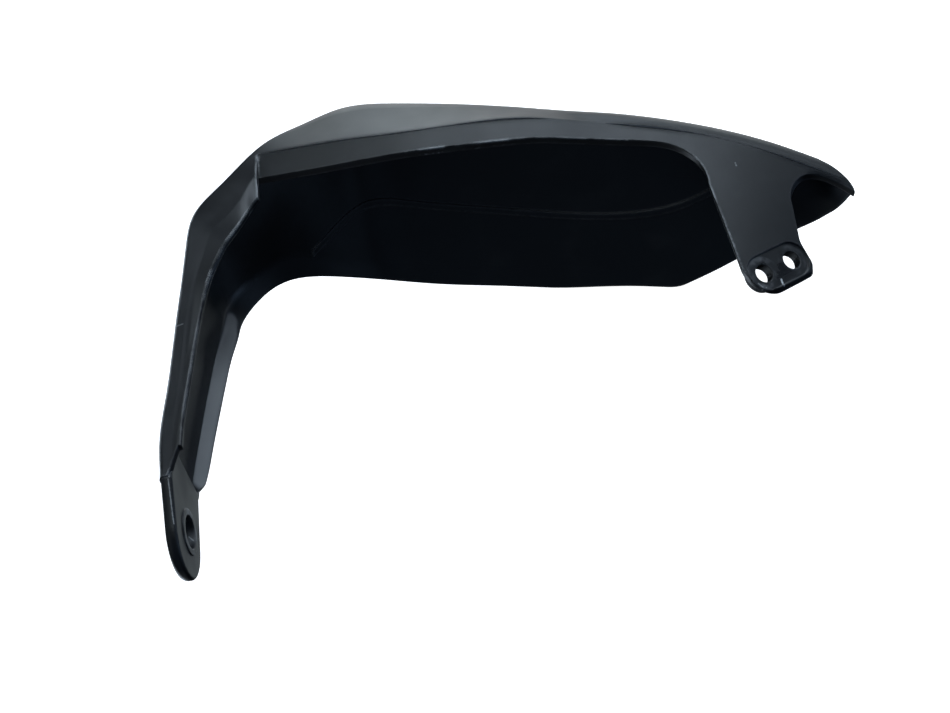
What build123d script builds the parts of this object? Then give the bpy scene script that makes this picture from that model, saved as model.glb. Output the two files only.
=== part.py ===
from build123d import *
import math
import os

os.makedirs("parts", exist_ok=True)

# Driving dimensions in millimetres. X runs inboard along the bar, Y forward, Z up.
WALL = 3.0
EDGE_ROUND = 0.8

# Bar-end eye: outline in side view, bore and raised ring
EYE_CENTRE = (-2.6, 0.8)
EYE_RADIUS = 15.6
EYE_THICKNESS = 4.6
EYE_INNER_ROUND = 1.4
EYE_OUTER_ROUND = 2.6
EYE_BORE = 12.5
EYE_RING_DIAMETER = 17.0
EYE_RING_HEIGHT = 0.4
EYE_SHOULDER = (8.6, 22.2)
EYE_NECK_TOP = (24.0, 23.2)
EYE_NECK_LOW = (24.0, -10.2)

# Arm sections: place of the outer edge in plan, turn of the section, then across and up values for
# the upper lip, the facet line, the outer edge, the lower corner and the lower lip, and a corner radius
ARM = [
    ((0.0, 9.0), 0.0, (3.4, 23.2), (0.8, 23.4), (-4.9, 22.1), (-4.9, -7.2), (-3.4, -9.8), 2.0),
    ((0.0, 18.0), 0.0, (4.3, 25.0), (1.6, 25.2), (-5.1, 23.0), (-5.1, -8.0), (-2.6, -11.2), 2.0),
    ((0.0, 28.0), 0.0, (5.2, 27.0), (2.4, 27.1), (-4.8, 24.2), (-4.7, -8.6), (-0.4, -13.8), 2.0),
    ((0.0, 45.0), 0.0, (8.0, 30.2), (4.4, 29.9), (-2.1, 26.2), (-2.7, -8.6), (2.6, -14.2), 2.0),
    ((0.0, 75.0), 0.0, (14.0, 35.1), (9.2, 35.4), (2.5, 32.0), (1.5, -8.4), (7.3, -14.2), 2.0),
    ((5.3, 92.0), -10.0, (14.0, 39.6), (7.6, 38.9), (0.0, 35.6), (-0.9, -8.4), (5.0, -14.2), 4.0),
    ((7.2, 104.0), -25.0, (18.0, 42.3), (10.5, 41.5), (0.0, 38.9), (-0.3, -8.4), (5.9, -14.7), 8.0),
    ((9.0, 116.0), -48.0, (24.0, 43.0), (15.0, 42.8), (0.0, 40.2), (0.7, -8.5), (6.9, -16.7), 10.0),
    ((22.0, 133.0), -65.0, (25.0, 43.0), (17.6, 43.4), (-0.6, 41.5), (1.0, -9.5), (5.2, -18.3), 12.0),
]
ARM_EDGE_RADIUS = 3.6
ARM_EDGE_SHARE = 0.45
ARM_FACET_RADIUS = 5.0

# Slanted ends of the arm's lips beside the eye, in plan at a level, with the line that each is cut along
UPPER_LIP_END = [(-2.1, 6.0), (-1.0, 9.5), (3.1, 19.5)]
UPPER_LIP_LEVEL = 24.0
UPPER_LIP_SIGHT = (0.0, 0.0, 1.0)
LOWER_LIP_END = [(-0.8, 25.4), (0.5, 26.8), (1.9, 28.6), (4.0, 31.5)]
LOWER_LIP_LEVEL = -11.0
LIP_CUT_REACH = 20.0

# Ridge plane where the arm meets the shield
RIDGE_X = 37.0
RIDGE_LIP = (120.5, 41.2)
RIDGE_FACET_Y = 131.0
RIDGE_LOW_CORNER = (140.1, -10.0)
RIDGE_LOW_RADIUS = 20.0

# Shield sections: place along the bar, crease, crown, crown radius, lower edge, fall of the rear band
SHIELD = [
    (RIDGE_X, (143.4, 42.5), (148.8, 41.0), 5.0, (135.6, -20.4), 0.22),
    (54.0, (142.5, 43.3), (163.0, 36.5), 12.0, (140.9, -30.0), 0.28),
    (70.0, (141.9, 43.3), (171.1, 34.0), 18.0, (145.2, -41.0), 0.30),
    (92.0, (141.0, 42.3), (168.9, 33.0), 17.0, (143.2, -47.3), 0.30),
    (118.0, (142.3, 39.5), (163.2, 31.0), 15.0, (138.8, -50.6), 0.30),
    (146.0, (143.0, 34.7), (156.2, 28.0), 12.0, (133.4, -53.5), 0.30),
    (176.0, (142.1, 24.8), (150.5, 22.8), 9.0, (127.0, -56.5), 0.28),
    (206.0, (138.1, 16.0), (145.6, 14.2), 8.0, (118.0, -58.5), 0.28),
    (236.0, (131.0, 3.75), (139.2, 2.2), 8.0, (118.0, -43.5), 0.39),
    (256.0, (125.0, -6.5), (133.2, -7.8), 7.5, (112.4, -35.3), 0.46),
    (272.0, (121.1, -14.8), (128.4, -15.8), 6.5, (106.5, -37.5), 0.50),
]
CROWN_LEAN = 41.4
INNER_RADIUS_LEAST = 0.5
LOW_EDGE_HEIGHT = 7.0
LOW_EDGE_TURN = 0.5
LOW_EDGE_RADIUS = 40.0
LIP_RUN = 9.0
LIP_TURN = 0.12

# Rear band: how far back it is made, and how its front end sits in the skin
BAND_BACK = 58.0
BAND_THICKNESS = 3.2
BAND_EMBED = 0.3
BAND_SINK = 0.3
BAND_TOE = 2.0
BAND_LAP = 1.0

# Rear outline of the band, the clamp tab and the notch beside it, in plan
RIM = [(RIDGE_X, 132.6), (70.0, 132.0), (122.0, 133.6), (160.0, 135.0), (184.0, 134.9), (198.0, 132.4)]
TAB_ROOT = [(205.2, 126.4), (207.8, 116.0)]
TAB_SIDE = (211.5, 93.0)
TAB_END_LEFT = (215.1, 67.2)
TAB_END_RIGHT = (242.4, 86.3)
TAB_WAIST = (238.5, 96.0)
NOTCH_BACK = (238.7, 110.5)
NOTCH_TOP = [(240.0, 117.4), (247.0, 123.8), (258.0, 122.2), (270.0, 114.5)]
TAB_SIDE_RADIUS = 40.0
TAB_END_RADIUS = 9.0
TAB_TOE_RADIUS = 4.0
TAB_WAIST_RADIUS = 8.0

# Slanted lower end of the shield in front view
LOW_LEFT = (130.0, -51.4)
SLANT_LOW = (191.5, -53.4)
SLANT_HIGH = (254.0, -25.7)
SLANT_TIP = (268.0, -21.3)
SLANT_RADIUS = 18.0

# Line of sight for the slanted trims, and the rounded tip from a point at its very end
TRIM_SIGHT = (0.0, -0.65, 0.76)
TIP_POINT = (265.0, 120.0, -16.0)
TIP = [(-11.0, 16.0), (-6.6, 12.4), (-2.7, 7.5), (-0.4, 2.9), (-0.1, 0.6), (-1.0, -1.4)]

# Raised bead across the shield's inner face, with its line in front view
BEAD = [(45.5, -13.1), (64.0, -9.7), (84.0, -12.0), (145.0, -19.6), (178.0, -21.6), (212.0, -13.8)]
BEAD_WIDTH = 2.6
BEAD_RISE = 0.8

# Clamp holes in the tab, with a shared sunk seat on top and a pad below
HOLE_1 = (222.1, 80.3)
HOLE_2 = (234.0, 88.2)
HOLE_DIAMETER = 7.5
SEAT_WIDTH = 14.6
SEAT_DEPTH = 0.8
PAD_WIDTH = 12.6
PAD_DEPTH = 5.2

# Bounds of the trimming solids, well clear of the part
FAR = 400.0
ROOF_FLOOR_POINT = (RIDGE_X, 132.0, 20.0)
ROOF_FLOOR_NORMAL = (0.17, 0.0, 1.0)


def leave(start, end):
    length = math.hypot(end[0] - start[0], end[1] - start[1])
    return ((end[0] - start[0]) / length, (end[1] - start[1]) / length)


def meet(p, d, q, e):
    cross = d[0] * e[1] - d[1] * e[0]
    along = ((q[0] - p[0]) * e[1] - (q[1] - p[1]) * e[0]) / cross
    return (p[0] + along * d[0], p[1] + along * d[1])


def inward(points, gap):
    dirs = [leave(a, b) for a, b in zip(points[:-1], points[1:])]
    moves = [(-d[1] * gap, d[0] * gap) for d in dirs]
    result = [(points[0][0] + moves[0][0], points[0][1] + moves[0][1])]
    for k in range(1, len(points) - 1):
        before = (points[k][0] + moves[k - 1][0], points[k][1] + moves[k - 1][1])
        after = (points[k][0] + moves[k][0], points[k][1] + moves[k][1])
        result.append(meet(before, dirs[k - 1], after, dirs[k]))
    result.append((points[-1][0] + moves[-1][0], points[-1][1] + moves[-1][1]))
    return result


def touch(point, centre, radius, turn):
    reach = math.hypot(point[0] - centre[0], point[1] - centre[1])
    base = math.atan2(point[1] - centre[1], point[0] - centre[0])
    swing = base + turn * math.acos(min(1.0, radius / reach))
    return (centre[0] + radius * math.cos(swing), centre[1] + radius * math.sin(swing))


def crown_corner(crease, crown, radius, low):
    lean = math.radians(CROWN_LEAN)
    centre = (crown[0] - radius * math.sin(lean), crown[1] - radius * math.cos(lean))
    top = touch(crease, centre, radius, -1)
    front = touch(low, centre, radius, 1)
    return meet(crease, leave(crease, top), low, leave(low, front))


def shell(outer, radii):
    inner = inward(outer, WALL)
    inner_radii = [max(r - WALL, INNER_RADIUS_LEAST) for r in radii]
    ends = [EDGE_ROUND, EDGE_ROUND]
    return outer + inner[::-1], ends[:1] + radii + ends + inner_radii[::-1] + ends[:1]


def shield_profile(place, crease, crown, radius, low):
    panel = leave(low, crown_corner(crease, crown, radius, low))
    turn_in = (
        low[0] + LOW_EDGE_HEIGHT * panel[0] + LOW_EDGE_TURN * panel[1],
        low[1] + LOW_EDGE_HEIGHT * panel[1] - LOW_EDGE_TURN * panel[0],
    )
    if place == RIDGE_X:
        turn_in = RIDGE_LOW_CORNER
    corner = crown_corner(crease, crown, radius, turn_in)
    slope = leave(corner, crease)
    facet = (crease[0] + LIP_RUN * slope[0], crease[1] + LIP_RUN * slope[1])
    lip = (
        facet[0] + LIP_RUN * (slope[0] - LIP_TURN * slope[1]),
        facet[1] + LIP_RUN * (slope[1] + LIP_TURN * slope[0]),
    )
    if place == RIDGE_X:
        facet = meet(corner, slope, (RIDGE_FACET_Y, 0), (0, 1))
        lip = RIDGE_LIP
    return [lip, facet, corner, turn_in, low]


# Skin: arm web with its two lips, running on into the shield's front panel and top slope
with BuildPart() as skin:
    for place, turn, lip, facet, edge, low, foot, low_radius in ARM:
        angle = math.radians(turn)
        across = (math.cos(angle), math.sin(angle), 0)
        along = (math.sin(angle), -math.cos(angle), 0)
        edge_radius = min(ARM_EDGE_RADIUS, ARM_EDGE_SHARE * math.dist(facet, edge))
        points, radii = shell(
            [lip, facet, edge, low, foot],
            [ARM_FACET_RADIUS, edge_radius, low_radius],
        )
        with BuildSketch(Plane(origin=(*place, 0), x_dir=across, z_dir=along)):
            with BuildLine():
                FilletPolyline(points, radius=radii, close=True)
            make_face()
    for place, crease, crown, radius, low, fall in SHIELD:
        profile = shield_profile(place, crease, crown, radius, low)
        low_radius = RIDGE_LOW_RADIUS if place == RIDGE_X else LOW_EDGE_RADIUS
        points, radii = shell([(-p[0], p[1]) for p in profile], [ARM_FACET_RADIUS, radius, low_radius])
        with BuildSketch(Plane(origin=(place, 0, 0), x_dir=(0, -1, 0), z_dir=(-1, 0, 0))):
            with BuildLine():
                FilletPolyline(points, radius=radii, close=True)
            make_face()
    loft()

# Room cut behind the crease, so that the arm's upper lip ends in a step at the ridge plane
creases = [(station[0], station[1][0]) for station in SHIELD]
with BuildPart() as lip_trim:
    with BuildSketch():
        with BuildLine():
            Spline(*creases)
            Polyline(creases[-1], (FAR, creases[-1][1]), (FAR, 0), (RIDGE_X, 0), creases[0])
        make_face()
    extrude(amount=FAR, both=True)
    with BuildSketch(Plane(origin=ROOF_FLOOR_POINT, z_dir=ROOF_FLOOR_NORMAL)):
        Rectangle(2 * FAR, 2 * FAR)
    extrude(amount=FAR, mode=Mode.INTERSECT)

# Rear band with the clamp tab, trimmed to its outline in plan
with BuildPart() as band:
    for place, crease, crown, radius, low, fall in SHIELD:
        top = crease[1] - BAND_SINK
        lap = BAND_LAP if place == RIDGE_X else 0
        with BuildSketch(Plane.YZ.offset(place - lap)):
            with BuildLine():
                Polyline(
                    (crease[0] + BAND_EMBED, top + fall * BAND_EMBED),
                    (BAND_BACK, top + fall * (BAND_BACK - crease[0])),
                    (BAND_BACK, top + fall * (BAND_BACK - crease[0]) - BAND_THICKNESS),
                    (crease[0] + BAND_TOE, top + fall * BAND_TOE - BAND_THICKNESS),
                    close=True,
                )
            make_face()
    loft()
    with BuildSketch():
        with BuildLine():
            Spline(*RIM, *TAB_ROOT)
            FilletPolyline(
                [TAB_ROOT[-1], TAB_SIDE, TAB_END_LEFT, TAB_END_RIGHT, TAB_WAIST, NOTCH_BACK],
                radius=[TAB_SIDE_RADIUS, TAB_END_RADIUS, TAB_TOE_RADIUS, TAB_WAIST_RADIUS],
            )
            Spline(NOTCH_BACK, *NOTCH_TOP)
            Polyline(
                NOTCH_TOP[-1],
                (FAR, NOTCH_TOP[-1][1]),
                (FAR, FAR),
                (0, FAR),
                (0, RIM[0][1]),
                RIM[0],
            )
        make_face()
    extrude(amount=FAR, both=True, mode=Mode.INTERSECT)

# Slanted lower end, cut in front view
slant = leave(SLANT_HIGH, SLANT_TIP)
with BuildPart() as end_trim:
    with BuildSketch(Plane.XZ):
        with BuildLine():
            FilletPolyline(
                [
                    LOW_LEFT,
                    SLANT_LOW,
                    SLANT_HIGH,
                    meet(SLANT_HIGH, slant, (FAR, 0), (0, 1)),
                    (FAR, -FAR),
                    (LOW_LEFT[0], -FAR),
                ],
                radius=[0, SLANT_RADIUS, SLANT_RADIUS, 0, 0, 0],
                close=True,
            )
        make_face()
    extrude(amount=FAR, both=True)

# Rounded tip, cut along its line of sight
with BuildPart() as tip_trim:
    with BuildSketch(Plane(origin=TIP_POINT, x_dir=(1, 0, 0), z_dir=TRIM_SIGHT)):
        with BuildLine():
            Spline(*TIP)
            Polyline(TIP[-1], (TIP[-1][0], -FAR), (FAR, -FAR), (FAR, FAR), (TIP[0][0], FAR), TIP[0])
        make_face()
    extrude(amount=FAR, both=True)

# Raised bead, a band of the skin moved back and cut to the bead's line
with BuildPart() as bead:
    add(skin.part.moved(Location((0, -BEAD_RISE, 0))))
    upper = [(x, z + BEAD_WIDTH / 2) for x, z in BEAD]
    lower = [(x, z - BEAD_WIDTH / 2) for x, z in BEAD]
    with BuildSketch(Plane.XZ):
        with BuildLine():
            Spline(*upper)
            Line(upper[-1], lower[-1])
            Spline(*lower)
            Line(lower[0], upper[0])
        make_face()
    extrude(amount=FAR, both=True, mode=Mode.INTERSECT)

# Bar-end eye with rounded edges and a raised ring
with BuildPart() as eye:
    with BuildSketch(Plane.YZ):
        with BuildLine():
            CenterArc(EYE_CENTRE, EYE_RADIUS, 0, 360)
            Polyline(EYE_SHOULDER, EYE_NECK_TOP, EYE_NECK_LOW)
        make_hull()
    extrude(amount=-EYE_THICKNESS)
    fillet(eye.faces().sort_by(Axis.X)[-1].edges(), EYE_INNER_ROUND)
    fillet(eye.faces().sort_by(Axis.X)[0].edges(), EYE_OUTER_ROUND)
    with BuildSketch(Plane.YZ):
        Circle(EYE_RING_DIAMETER / 2)
    extrude(amount=EYE_RING_HEIGHT)

with BuildPart() as hand_guard:
    add(skin.part)
    add(lip_trim.part, mode=Mode.SUBTRACT)
    add(band.part)
    add(end_trim.part, mode=Mode.SUBTRACT)
    add(tip_trim.part, mode=Mode.SUBTRACT)
    add(bead.part)

    # Slanted lip ends beside the eye
    for line, level, sight in (
        (UPPER_LIP_END, UPPER_LIP_LEVEL, UPPER_LIP_SIGHT),
        (LOWER_LIP_END, LOWER_LIP_LEVEL, TRIM_SIGHT),
    ):
        with BuildSketch(Plane.XY.offset(level)):
            with BuildLine():
                Polyline(*line, (FAR, line[-1][1]), (FAR, 0), (0, 0), line[0])
            make_face()
        extrude(amount=LIP_CUT_REACH, dir=sight, both=True, mode=Mode.SUBTRACT)

    # Bar-end eye and its bore
    add(eye.part)
    with BuildSketch(Plane.YZ):
        Circle(EYE_BORE / 2)
    extrude(amount=FAR, both=True, mode=Mode.SUBTRACT)

    # Sunk seat, pad and holes of the clamp tab
    seat_1 = band.part.find_intersection_points(Axis((*HOLE_1, FAR), (0, 0, -1)))[0]
    seat_2 = band.part.find_intersection_points(Axis((*HOLE_2, FAR), (0, 0, -1)))[0]
    seat = Plane(
        origin=(seat_1[0] + seat_2[0]) / 2,
        x_dir=seat_2[0] - seat_1[0],
        z_dir=seat_1[1] + seat_2[1],
    )
    pitch = (seat_2[0] - seat_1[0]).length
    with BuildSketch(seat.offset(-PAD_DEPTH)):
        SlotCenterToCenter(pitch, PAD_WIDTH)
    extrude(amount=PAD_DEPTH - SEAT_DEPTH)
    with BuildSketch(seat.offset(-SEAT_DEPTH)):
        SlotCenterToCenter(pitch, SEAT_WIDTH)
    extrude(amount=PAD_DEPTH, mode=Mode.SUBTRACT)
    with BuildSketch(seat):
        with Locations((-pitch / 2, 0), (pitch / 2, 0)):
            Circle(HOLE_DIAMETER / 2)
    extrude(amount=2 * PAD_DEPTH, both=True, mode=Mode.SUBTRACT)

hand_guard.part.label = "hand_guard"
export_step(hand_guard.part, "parts/hand_guard.step")
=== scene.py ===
import math

import bpy
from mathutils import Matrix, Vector


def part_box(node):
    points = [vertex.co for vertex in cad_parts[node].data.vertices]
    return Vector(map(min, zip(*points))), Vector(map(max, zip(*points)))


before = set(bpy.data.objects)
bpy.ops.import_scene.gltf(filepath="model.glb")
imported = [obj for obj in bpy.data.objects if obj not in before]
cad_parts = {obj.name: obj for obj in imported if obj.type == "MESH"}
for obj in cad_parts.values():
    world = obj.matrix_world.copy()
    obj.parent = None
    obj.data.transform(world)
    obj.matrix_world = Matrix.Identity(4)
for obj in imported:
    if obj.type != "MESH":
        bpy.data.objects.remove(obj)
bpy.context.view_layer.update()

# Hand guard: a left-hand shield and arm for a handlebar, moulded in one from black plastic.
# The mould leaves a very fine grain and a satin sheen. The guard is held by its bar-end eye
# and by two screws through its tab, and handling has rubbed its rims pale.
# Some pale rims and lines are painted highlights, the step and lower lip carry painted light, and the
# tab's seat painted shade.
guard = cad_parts["hand_guard"]


def effect(name, inputs, outputs):
    group = bpy.data.node_groups.new(name, "ShaderNodeTree")
    for label, kind, value in inputs:
        socket = group.interface.new_socket(label, in_out="INPUT", socket_type=kind)
        socket.default_value = value
    for label, kind in outputs:
        group.interface.new_socket(label, in_out="OUTPUT", socket_type=kind)
    taken = group.nodes.new("NodeGroupInput").outputs
    given = group.nodes.new("NodeGroupOutput").inputs
    return group, taken, given


def feed(tree, socket, value):
    if isinstance(value, bpy.types.NodeSocket):
        tree.links.new(value, socket)
    else:
        socket.default_value = value


def math_node(tree, operation, first, second=0.0):
    node = tree.nodes.new("ShaderNodeMath")
    node.operation = operation
    feed(tree, node.inputs[0], first)
    feed(tree, node.inputs[1], second)
    return node.outputs["Value"]


def vector_node(tree, operation, first, second=None):
    node = tree.nodes.new("ShaderNodeVectorMath")
    node.operation = operation
    feed(tree, node.inputs[0], first)
    if second is not None:
        feed(tree, node.inputs["Scale" if operation == "SCALE" else 1], second)
    return node.outputs["Value" if operation in ("DOT_PRODUCT", "LENGTH") else "Vector"]


def ramp_node(tree, value, start, end):
    node = tree.nodes.new("ShaderNodeMapRange")
    node.interpolation_type = "SMOOTHSTEP"
    feed(tree, node.inputs["Value"], value)
    feed(tree, node.inputs["From Min"], start)
    feed(tree, node.inputs["From Max"], end)
    return node.outputs["Result"]


# Edge effect: the small round that a mould leaves on every edge, and how sharply the surface turns there
BEVEL_SAMPLES = 6
rounded_edge, taken, given = effect(
    "rounded_edge",
    [("Radius", "NodeSocketFloat", 0.0006)],
    [("Normal", "NodeSocketVector"), ("Turn", "NodeSocketFloat")],
)
bevel = rounded_edge.nodes.new("ShaderNodeBevel")
bevel.samples = BEVEL_SAMPLES
rounded_edge.links.new(taken["Radius"], bevel.inputs["Radius"])
rounded_normal = bevel.outputs["Normal"]
flat_normal = rounded_edge.nodes.new("ShaderNodeNewGeometry").outputs["True Normal"]
alike = vector_node(rounded_edge, "DOT_PRODUCT", rounded_normal, flat_normal)
rounded_edge.links.new(rounded_normal, given["Normal"])
rounded_edge.links.new(math_node(rounded_edge, "SUBTRACT", 1.0, alike), given["Turn"])

# Stroke effect: a short line or a long strip between two points, for rubbed marks and for painted light
# and shade alike. It is full as far as
# STROKE_CORE of its width to each side, and then fades out.
STROKE_CORE = 0.3
line_stroke, taken, given = effect(
    "line_stroke",
    [
        ("Place", "NodeSocketVector", (0.0, 0.0, 0.0)),
        ("Start", "NodeSocketVector", (0.0, 0.0, 0.0)),
        ("End", "NodeSocketVector", (0.0, 0.0, 0.0)),
        ("Width", "NodeSocketFloat", 0.001),
        ("Ragged", "NodeSocketFloat", 0.0),
    ],
    [("Mask", "NodeSocketFloat")],
)
run = vector_node(line_stroke, "SUBTRACT", taken["End"], taken["Start"])
offset = vector_node(line_stroke, "SUBTRACT", taken["Place"], taken["Start"])
run_squared = vector_node(line_stroke, "DOT_PRODUCT", run, run)
share = vector_node(line_stroke, "DOT_PRODUCT", offset, run)
share = math_node(line_stroke, "DIVIDE", share, run_squared)
share = math_node(line_stroke, "MAXIMUM", share, 0.0)
share = math_node(line_stroke, "MINIMUM", share, 1.0)
nearest = vector_node(line_stroke, "SCALE", run, share)
gap = vector_node(line_stroke, "SUBTRACT", offset, nearest)
gap = vector_node(line_stroke, "LENGTH", gap)
widths = math_node(line_stroke, "DIVIDE", gap, taken["Width"])
widths = math_node(line_stroke, "ADD", widths, taken["Ragged"])
fade = ramp_node(line_stroke, widths, STROKE_CORE, 1.0)
line_stroke.links.new(math_node(line_stroke, "SUBTRACT", 1.0, fade), given["Mask"])

# Print effect: the ring that a washer or a bar-end collar rubs round a hole
PRINT_SOFT = 0.0005
PRINT_DEPTH = 0.0025
washer_print, taken, given = effect(
    "washer_print",
    [
        ("Place", "NodeSocketVector", (0.0, 0.0, 0.0)),
        ("Centre", "NodeSocketVector", (0.0, 0.0, 0.0)),
        ("Axis", "NodeSocketVector", (1.0, 0.0, 0.0)),
        ("Inner", "NodeSocketFloat", 0.006),
        ("Outer", "NodeSocketFloat", 0.009),
    ],
    [("Mask", "NodeSocketFloat")],
)
offset = vector_node(washer_print, "SUBTRACT", taken["Place"], taken["Centre"])
depth = vector_node(washer_print, "DOT_PRODUCT", offset, taken["Axis"])
depth = math_node(washer_print, "ABSOLUTE", depth)
across = vector_node(washer_print, "CROSS_PRODUCT", offset, taken["Axis"])
radius = vector_node(washer_print, "LENGTH", across)
past_inner = math_node(washer_print, "SUBTRACT", radius, taken["Inner"])
within_outer = math_node(washer_print, "SUBTRACT", taken["Outer"], radius)
ring = math_node(washer_print, "MINIMUM", past_inner, within_outer)
ring = ramp_node(washer_print, ring, -PRINT_SOFT, PRINT_SOFT)
near = math_node(washer_print, "LESS_THAN", depth, PRINT_DEPTH)
washer_print.links.new(math_node(washer_print, "MULTIPLY", ring, near), given["Mask"])

plastic = bpy.data.materials.new("satin_black_plastic")
plastic.use_nodes = True
mould = plastic.node_tree
nodes = mould.nodes
links = mould.links
surface = nodes["Principled BSDF"]
place = nodes.new("ShaderNodeTexCoord").outputs["Object"]


def placed(group, values):
    node = nodes.new("ShaderNodeGroup")
    node.node_tree = group
    for label, value in values.items():
        feed(mould, node.inputs[label], value)
    return node.outputs


def mixed(kind, share, first, second):
    node = nodes.new("ShaderNodeMix")
    node.data_type = kind
    first_at, second_at, result_at = {"FLOAT": (2, 3, 0), "RGBA": (6, 7, 2)}[kind]
    feed(mould, node.inputs[0], share)
    feed(mould, node.inputs[first_at], first)
    feed(mould, node.inputs[second_at], second)
    return node.outputs[result_at]


def times(first, second):
    return math_node(mould, "MULTIPLY", first, second)


def larger(first, second):
    return math_node(mould, "MAXIMUM", first, second)


def cloud(scale, detail):
    node = nodes.new("ShaderNodeTexNoise")
    node.inputs["Scale"].default_value = scale
    node.inputs["Detail"].default_value = detail
    links.new(place, node.inputs["Vector"])
    return node.outputs["Fac"]


def patches(scale, detail, start, end):
    return ramp_node(mould, cloud(scale, detail), start, end)


# Lines follow their points with a ragged outline, or with a plain one for an outline of 0
PLAIN = 0.0
ragged = math_node(mould, "SUBTRACT", patches(scale=900.0, detail=2.0, start=0.0, end=1.0), 0.5)


def line_mask(points, width, outline=ragged):
    mask = 0.0
    for first, last in zip(points[:-1], points[1:]):
        ends = {"Place": place, "Start": first, "End": last, "Width": width, "Ragged": outline}
        mask = larger(placed(line_stroke, ends)["Mask"], mask)
    return mask


# Rounded edges: a mould's small round everywhere, and a wide soft turn where the top meets the rear band
EDGE_RADIUS = 0.0007
CREASE_RADIUS = 0.0035
CREASE_WIDTH = 0.0045
CREASE = [
    (0.0400, 0.1432, 0.0426),
    (0.0700, 0.1419, 0.0433),
    (0.0920, 0.1410, 0.0423),
    (0.1180, 0.1423, 0.0395),
    (0.1460, 0.1430, 0.0347),
    (0.1760, 0.1421, 0.0248),
    (0.2060, 0.1381, 0.0160),
    (0.2360, 0.1310, 0.0038),
    (0.2600, 0.1240, -0.0085),
]
crease = line_mask(CREASE, CREASE_WIDTH, PLAIN)
edge_radius = mixed("FLOAT", crease, EDGE_RADIUS, CREASE_RADIUS)
edge_normal = placed(rounded_edge, {"Radius": edge_radius})["Normal"]

# The low step along the crease: its faces look back, and they are painted pale grey, painted light that
# hides the dark line they would show
STEP_WIDTH = 0.0025
STEP_LOOKS_BACK = (0.45, 0.75)
looks = nodes.new("ShaderNodeSeparateXYZ")
links.new(nodes.new("ShaderNodeNewGeometry").outputs["True Normal"], looks.inputs["Vector"])
step = ramp_node(mould, times(looks.outputs["Y"], -1.0), *STEP_LOOKS_BACK)
step = times(step, line_mask(CREASE, STEP_WIDTH, PLAIN))

# Lower lip of the arm: it is dished a little, so it looks further up and back than its flat would
# The same mask also paints the lip paler where it faces up, a painted sheen
LIP_LEAN = (-0.15, -0.30, 0.90)
LIP_WIDTH = 0.0055
LIP_LOOKS_UP = (0.15, 0.40)
LOWER_LIP = [
    (0.0122, 0.1078, -0.0097),
    (0.0077, 0.0821, -0.0093),
    (0.0029, 0.0529, -0.0091),
    (0.0007, 0.0304, -0.0101),
]
facing = nodes.new("ShaderNodeSeparateXYZ")
links.new(edge_normal, facing.inputs["Vector"])
upward = ramp_node(mould, facing.outputs["Z"], *LIP_LOOKS_UP)
lip = times(line_mask(LOWER_LIP, LIP_WIDTH, PLAIN), upward)
lean = vector_node(mould, "SCALE", LIP_LEAN, lip)
leaned = vector_node(mould, "NORMALIZE", vector_node(mould, "ADD", edge_normal, lean))

# Moulded grain, about a quarter of a millimetre across
GRAIN_HEIGHT = 0.00002
GRAIN_STRENGTH = 0.35
grain_bump = nodes.new("ShaderNodeBump")
grain_bump.inputs["Strength"].default_value = GRAIN_STRENGTH
grain_bump.inputs["Distance"].default_value = GRAIN_HEIGHT
links.new(cloud(scale=3200.0, detail=2.0), grain_bump.inputs["Height"])
links.new(leaned, grain_bump.inputs["Normal"])
links.new(grain_bump.outputs["Normal"], surface.inputs["Normal"])

# Pale rims, partly rubbed by hands and gloves and partly painted edge highlights, with the chips in the
# band's rim; the tab's and the eye's rims are painted highlights
FLANGE_RIM = [
    (0.0362, 0.1210, 0.0412),
    (0.0278, 0.1036, 0.0434),
    (0.0189, 0.0920, 0.0403),
    (0.0139, 0.0760, 0.0353),
    (0.0081, 0.0452, 0.0293),
    (0.0050, 0.0270, 0.0262),
]
FLANGE_BEND = [(0.0192, 0.0924, 0.0404), (0.0164, 0.0844, 0.0377), (0.0139, 0.0760, 0.0353)]
ARM_STEP = [(0.0366, 0.1430, 0.0425), (0.0370, 0.1310, 0.0426), (0.0366, 0.1220, 0.0414)]
BAND_RIM = [
    (0.0960, 0.1338, 0.0388),
    (0.1327, 0.1342, 0.0345),
    (0.1470, 0.1348, 0.0318),
    (0.1800, 0.1360, 0.0225),
]
BAND_CHIP_SHORT = [(0.1000, 0.1338, 0.0386), (0.1085, 0.1337, 0.0376)]
BAND_CHIP_LONG = [(0.1165, 0.1340, 0.0367), (0.1330, 0.1342, 0.0344)]
TAB_RIM = [
    (0.2052, 0.1264, 0.0125),
    (0.2078, 0.1160, 0.0090),
    (0.2115, 0.0930, -0.0010),
    (0.2135, 0.0806, -0.0057),
]
EYE_RIM = [(-0.0012, 0.0100, 0.0222), (-0.0012, 0.0009, 0.0191), (-0.0007, -0.0077, 0.0153)]

# Each rim with its width and how strongly it is painted pale, as rubbing or as painted highlight
RIMS = [
    (FLANGE_RIM, 0.0030, 0.7),
    (FLANGE_BEND, 0.0035, 1.0),
    (ARM_STEP, 0.0030, 0.6),
    (BAND_RIM, 0.0030, 0.3),
    (BAND_CHIP_SHORT, 0.0030, 1.0),
    (BAND_CHIP_LONG, 0.0030, 1.0),
    (TAB_RIM, 0.0030, 0.5),
    (EYE_RIM, 0.0030, 0.3),
]
OTHER_RIMS = 0.06
PALE_EDGE_RADIUS = 0.0018
PALE_EDGE_TURN = (0.015, 0.13)
rims = OTHER_RIMS
for points, width, strength in RIMS:
    rims = larger(times(line_mask(points, width), strength), rims)
edges = ramp_node(mould, placed(rounded_edge, {"Radius": PALE_EDGE_RADIUS})["Turn"], *PALE_EDGE_TURN)
wear_and_highlights = times(times(edges, rims), patches(scale=130.0, detail=6.0, start=0.28, end=0.62))
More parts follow.
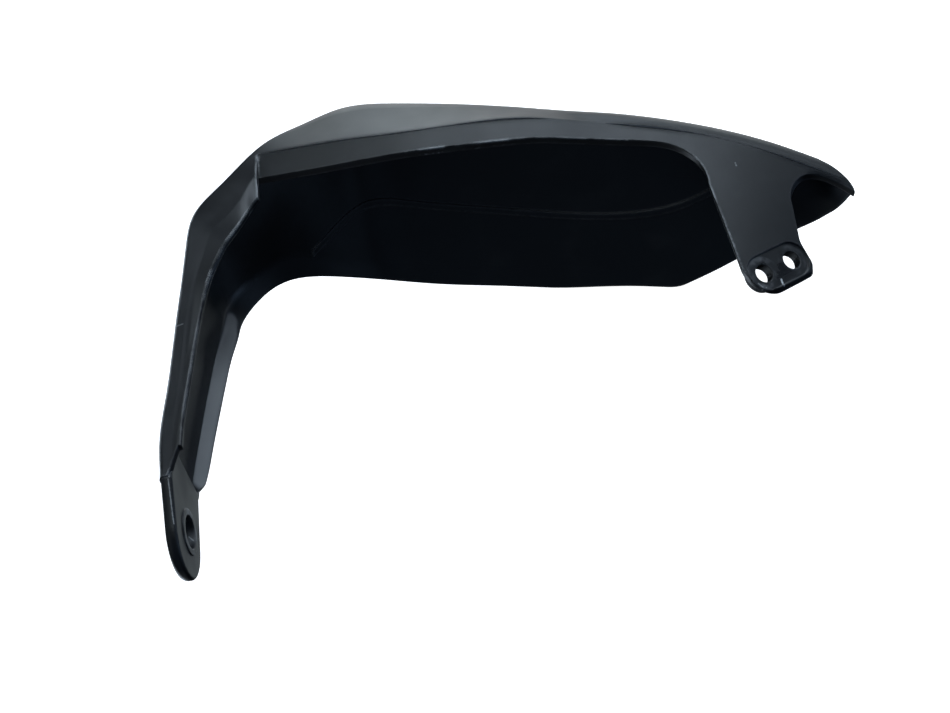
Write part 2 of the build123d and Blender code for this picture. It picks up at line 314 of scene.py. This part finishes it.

# The bead round the raised field inside the shield, with a painted highlight along its edges all along
BEAD = [
    (0.0455, 0.1395, -0.0125),
    (0.0557, 0.1479, -0.0106),
    (0.0647, 0.1559, -0.0097),
    (0.0765, 0.1604, -0.0095),
    (0.1326, 0.1468, -0.0166),
    (0.1667, 0.1386, -0.0202),
    (0.1973, 0.1343, -0.0176),
    (0.2100, 0.1350, -0.0136),
]
BEAD_WIDTH = 0.004
BEAD_HIGHLIGHT_STRENGTH = 0.12
wear_and_highlights = larger(wear_and_highlights, times(times(edges, line_mask(BEAD, BEAD_WIDTH)), BEAD_HIGHLIGHT_STRENGTH))

# Short scratches and specks on the arm, on the tab beside its holes, on its root and in the eye's bore,
# and a painted highlight down the eye plate's edge, each with its two ends, its width and its strength
SCRATCHES = [
    ((0.0034, 0.0705, 0.0319), (0.0061, 0.0697, 0.0333), 0.0004, 0.2),
    ((0.2279, 0.0793, -0.0127), (0.2283, 0.0768, -0.0133), 0.0006, 0.9),
    ((0.2195, 0.0743, -0.0109), (0.2214, 0.0750, -0.0107), 0.0004, 0.4),
    ((0.2186, 0.0758, -0.0086), (0.2200, 0.0748, -0.0098), 0.0004, 0.3),
    ((0.2197, 0.1257, 0.0075), (0.2199, 0.1245, 0.0070), 0.0005, 0.25),
    # painted highlight down the eye plate's edge, not a scratch
    ((-0.0012, 0.0080, 0.0220), (-0.0007, -0.0070, 0.0156), 0.0003, 0.35),
    ((-0.0020, 0.0022, -0.0058), (-0.0002, 0.0003, -0.0062), 0.0003, 0.3),
]
for first, last, width, strength in SCRATCHES:
    wear_and_highlights = larger(wear_and_highlights, times(line_mask([first, last], width), strength))

# Rings printed by the bar-end collar and by the two screws' washers, each with its hole's centre and axis,
# its inner and outer radius and its strength
EYE_CENTRE = (0.0, 0.0, 0.0)
EYE_AXIS = (1.0, 0.0, 0.0)
OUTER_HOLE = (0.220659, 0.081197, -0.010525)
INNER_HOLE = (0.232607, 0.089068, -0.014533)
TAB_AXIS = (0.472428, -0.294121, 0.830846)
PRINTS = [
    (EYE_CENTRE, EYE_AXIS, 0.0062, 0.0085, 1.0),
    (OUTER_HOLE, TAB_AXIS, 0.0046, 0.0070, 1.0),
    (INNER_HOLE, TAB_AXIS, 0.0046, 0.0062, 0.4),
]
prints = 0.0
for centre, axis, inner, outer, strength in PRINTS:
    hole = {"Place": place, "Centre": centre, "Axis": axis, "Inner": inner, "Outer": outer}
    prints = larger(times(placed(washer_print, hole)["Mask"], strength), prints)
prints = times(prints, patches(scale=170.0, detail=5.0, start=0.36, end=0.72))

# Patches in the sunk seat round the tab's holes: painted darker, a painted shade, and made glossier
SEAT = [(0.2207, 0.0812, -0.0105), (0.2326, 0.0891, -0.0145)]
SEAT_WIDTH = 0.0095
seat_shade_and_gloss = patches(scale=190.0, detail=5.0, start=0.47, end=0.62)
seat_shade_and_gloss = times(line_mask(SEAT, SEAT_WIDTH, PLAIN), seat_shade_and_gloss)

# Colour: slow change of tone over the moulding, a haze of handling, then painted light on the step and
# lip, the prints, painted shade in the seat, and the rubbed places with painted highlights
DEEP_BLACK = (0.0030, 0.0042, 0.0062, 1.0)
SOFT_BLACK = (0.0060, 0.0074, 0.0098, 1.0)
HAZE_GREY = (0.020, 0.022, 0.025, 1.0)
STEP_PAINTED_LIGHT_GREY = (0.45, 0.47, 0.50, 1.0)
LIP_PAINTED_SHEEN_GREY = (0.130, 0.137, 0.146, 1.0)
PRINT_GREY = (0.13, 0.135, 0.145, 1.0)
RUBBED_AND_HIGHLIGHT_GREY = (0.72, 0.75, 0.78, 1.0)
HAZE_STRENGTH = 0.6
haze = times(patches(scale=55.0, detail=6.0, start=0.48, end=0.78), HAZE_STRENGTH)
tone = patches(scale=14.0, detail=3.0, start=0.35, end=0.70)
colour = mixed("RGBA", tone, DEEP_BLACK, SOFT_BLACK)
for share, paint in [
    (haze, HAZE_GREY),
    # the crease's step painted pale: painted light
    (step, STEP_PAINTED_LIGHT_GREY),
    # the lower lip painted paler where it faces up: a painted sheen
    (lip, LIP_PAINTED_SHEEN_GREY),
    (prints, PRINT_GREY),
    # the seat's patches painted darker: painted shade
    (seat_shade_and_gloss, DEEP_BLACK),
    # rubbed rims, scratches and chips, with painted highlights on rims, bead and eye plate
    (wear_and_highlights, RUBBED_AND_HIGHLIGHT_GREY),
]:
    colour = mixed("RGBA", share, colour, paint)
links.new(colour, surface.inputs["Base Color"])

# Satin sheen, a little uneven: duller where the surface is handled or rubbed or painted with highlights,
# glossier in the seat's patches of painted shade
SATIN_SMOOTH = 0.37
SATIN_DULL = 0.44
HAZE_DULL = 0.50
SEAT_GLOSS = 0.24
RUBBED_AND_HIGHLIGHT_DULL = 0.65
sheen = mixed("FLOAT", patches(scale=60.0, detail=4.0, start=0.25, end=0.75), SATIN_SMOOTH, SATIN_DULL)
for share, roughness in [(haze, HAZE_DULL), (seat_shade_and_gloss, SEAT_GLOSS), (wear_and_highlights, RUBBED_AND_HIGHLIGHT_DULL)]:
    sheen = mixed("FLOAT", share, sheen, roughness)
links.new(sheen, surface.inputs["Roughness"])

guard.data.materials.clear()
guard.data.materials.append(plastic)

# Stage: a pale, plain floor under the guard. It is seen by the camera alone, so that the studio's
# panels light the guard from below as well, as they do in a light tent.
FLOOR_SIZE = 8.0
FLOOR_WHITE = (1.0, 1.0, 1.0, 1.0)
FLOOR_DULL = 0.9
FLOOR_GLOW = 1.0
low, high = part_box("hand_guard")
middle = (low + high) / 2
bpy.ops.mesh.primitive_plane_add(size=FLOOR_SIZE, location=(middle.x, middle.y, low.z))
floor = bpy.context.object
floor.name = "floor"
floor.visible_glossy = False
floor.visible_diffuse = False
floor.visible_shadow = False
floor_paint = bpy.data.materials.new("pale_floor")
floor_paint.use_nodes = True
floor_surface = floor_paint.node_tree.nodes["Principled BSDF"]
floor_surface.inputs["Base Color"].default_value = FLOOR_WHITE
floor_surface.inputs["Roughness"].default_value = FLOOR_DULL
floor_surface.inputs["Emission Color"].default_value = FLOOR_WHITE
floor_surface.inputs["Emission Strength"].default_value = FLOOR_GLOW
floor.data.materials.append(floor_paint)

# Studio panels, each by its bearing from straight ahead, its height above the guard in degrees,
# the length of its side in metres, its power in watts and its tint. They all face the guard.
PANEL_REACH = 1.6
PALE = (0.95, 0.98, 1.0)
CLEAR = (0.83, 0.95, 1.0)
COOL = (0.75, 0.87, 1.0)
BLUE = (0.45, 0.66, 1.0)
PANELS = [
    ("overhead_panel", 0.0, 88.0, 0.9, 3.9, CLEAR),
    ("key_softbox", 45.0, 62.0, 0.7, 7.6, COOL),
    ("high_left_panel", 270.0, 62.0, 0.7, 0.7, CLEAR),
    ("high_front_panel", 10.0, 36.0, 0.9, 7.2, COOL),
    ("right_front_panel", 55.0, 36.0, 0.7, 2.7, COOL),
    ("left_front_panel", 305.0, 34.0, 0.7, 1.9, COOL),
    ("tip_strip", 28.0, 9.0, 0.5, 1.5, CLEAR),
    ("front_strip", 357.0, 10.0, 0.5, 2.2, CLEAR),
    ("front_card", 4.0, -16.0, 1.2, 5.2, PALE),
    ("front_left_card", 315.0, -20.0, 0.7, 8.0, COOL),
    ("front_right_card", 45.0, -20.0, 0.7, 2.2, COOL),
    ("right_card", 90.0, -20.0, 0.7, 1.7, BLUE),
    ("low_front_card", 0.0, -52.0, 0.9, 1.7, CLEAR),
    ("low_left_card", 280.0, -52.0, 0.9, 5.9, COOL),
    ("low_rear_card", 200.0, -52.0, 0.9, 0.3, COOL),
    ("right_fill", 110.0, 20.0, 1.6, 1.9, BLUE),
    ("left_fill", 250.0, 20.0, 1.6, 2.0, COOL),
    ("rear_fill", 190.0, 5.0, 2.4, 1.8, BLUE),
]
for name, bearing, height, side, power, tint in PANELS:
    heading = math.radians(bearing)
    climb = math.radians(height)
    level = math.cos(climb)
    way = Vector((math.sin(heading) * level, math.cos(heading) * level, math.sin(climb)))
    light = bpy.data.lights.new(name, "AREA")
    light.shape = "SQUARE"
    light.size = side
    light.energy = power
    light.color = tint
    lamp = bpy.data.objects.new(name, light)
    lamp.location = middle + PANEL_REACH * way
    lamp.rotation_euler = (-way).to_track_quat("-Z", "Y").to_euler()
    lamp.visible_camera = False
    bpy.context.scene.collection.objects.link(lamp)

# Surroundings: a plain white studio that the camera sees. Next to no light comes from it on the guard,
# because the panels alone light it.
SEEN_WHITE = (1.0, 1.0, 1.0, 1.0)
SEEN_STRENGTH = 1.0
UNSEEN_STRENGTH = 0.008
world = bpy.data.worlds.new("studio")
bpy.context.scene.world = world
world.use_nodes = True
background = world.node_tree.nodes["Background"]
background.inputs["Color"].default_value = SEEN_WHITE
seen = world.node_tree.nodes.new("ShaderNodeLightPath")
glow = world.node_tree.nodes.new("ShaderNodeMapRange")
glow.inputs["To Min"].default_value = UNSEEN_STRENGTH
glow.inputs["To Max"].default_value = SEEN_STRENGTH
world.node_tree.links.new(seen.outputs["Is Camera Ray"], glow.inputs["Value"])
world.node_tree.links.new(glow.outputs["Result"], background.inputs["Strength"])
bpy.context.scene.view_settings.view_transform = "Standard"

# Camera: above and behind the guard, on the rider's side, with its place in metres,
# its turn in degrees, and its lens and sensor in millimetres.
CAMERA_PLACE = (0.15909, -0.36850, 0.49381)
CAMERA_TURN = (39.968, 9.959, -4.940)
CAMERA_LENS = 66.316
SENSOR_WIDTH = 36.0
CLIP_START = 0.01
camera = bpy.data.cameras.new("camera")
camera.lens = CAMERA_LENS
camera.sensor_fit = "HORIZONTAL"
camera.sensor_width = SENSOR_WIDTH
camera.clip_start = CLIP_START
viewer = bpy.data.objects.new("camera", camera)
viewer.location = CAMERA_PLACE
viewer.rotation_euler = [math.radians(angle) for angle in CAMERA_TURN]
bpy.context.scene.collection.objects.link(viewer)
bpy.context.scene.camera = viewer
